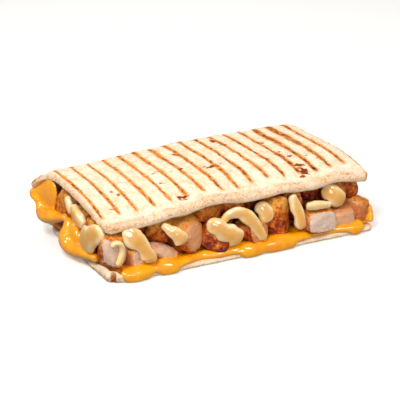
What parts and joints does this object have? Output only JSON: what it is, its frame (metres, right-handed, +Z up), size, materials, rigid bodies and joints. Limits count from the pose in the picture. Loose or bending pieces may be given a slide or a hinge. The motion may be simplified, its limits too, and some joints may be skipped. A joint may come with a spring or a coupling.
{
  "type": "quesadilla",
  "caption": "Folded toasted flat bread with grill marks, filled with diced chicken and melted orange and pale cheese, lying flat with its long side open.",
  "frame": {"origin": "on the table, under the middle of the bounding box", "axes": "+X along the open long side, to the right when it is looked at; +Y from the open side to the fold; +Z up"},
  "size_m": [0.1766, 0.1015, 0.042],
  "materials": {
    "tortilla": "dry toasted wheat dough, floury and matt, with brown grill marks and scorched blisters",
    "orange_cheese": "melted orange cheese, smooth, oily and glossy",
    "pale_cheese": "melted pale yellow cheese, smooth, slightly translucent and glossy",
    "chicken": "seared chicken breast, browned and spiced outside, pale pink and fibrous where cut, moist"
  },
  "bodies": {
    "root": {"chicken_behind_second": "chicken", "chicken_behind_tall": "chicken", "chicken_behind_tilted": "chicken", "chicken_corner": "chicken", "chicken_golden_tall": "chicken", "chicken_heap": "chicken", "chicken_in_shadow": "chicken", "chicken_last": "chicken", "chicken_left_back": "chicken", "chicken_left_front": "chicken", "chicken_left_middle": "chicken", "chicken_low_right": "chicken", "chicken_pale_lump": "chicken", "chicken_right_back": "chicken", "chicken_right_fold": "chicken", "chicken_right_front": "chicken", "chicken_right_middle": "chicken", "chicken_seared_lump": "chicken", "chicken_second": "chicken", "chicken_slab": "chicken", "chicken_tilted": "chicken", "chicken_top_right": "chicken", "chicken_under_blob": "chicken", "chicken_under_melt": "chicken", "chicken_upper_middle": "chicken", "chicken_white_face": "chicken", "orange_cheese": "orange_cheese", "pale_cheese_arch": "pale_cheese", "pale_cheese_blob": "pale_cheese", "pale_cheese_hook": "pale_cheese", "pale_cheese_left_high": "pale_cheese", "pale_cheese_left_low": "pale_cheese", "pale_cheese_left_middle": "pale_cheese", "pale_cheese_level": "pale_cheese", "pale_cheese_melt": "pale_cheese", "pale_cheese_s_shape": "pale_cheese", "pale_cheese_upright": "pale_cheese", "pale_cheese_wide": "pale_cheese", "pale_cheese_yellow": "pale_cheese", "tortilla": "tortilla"}
  },
  "joints": []
}
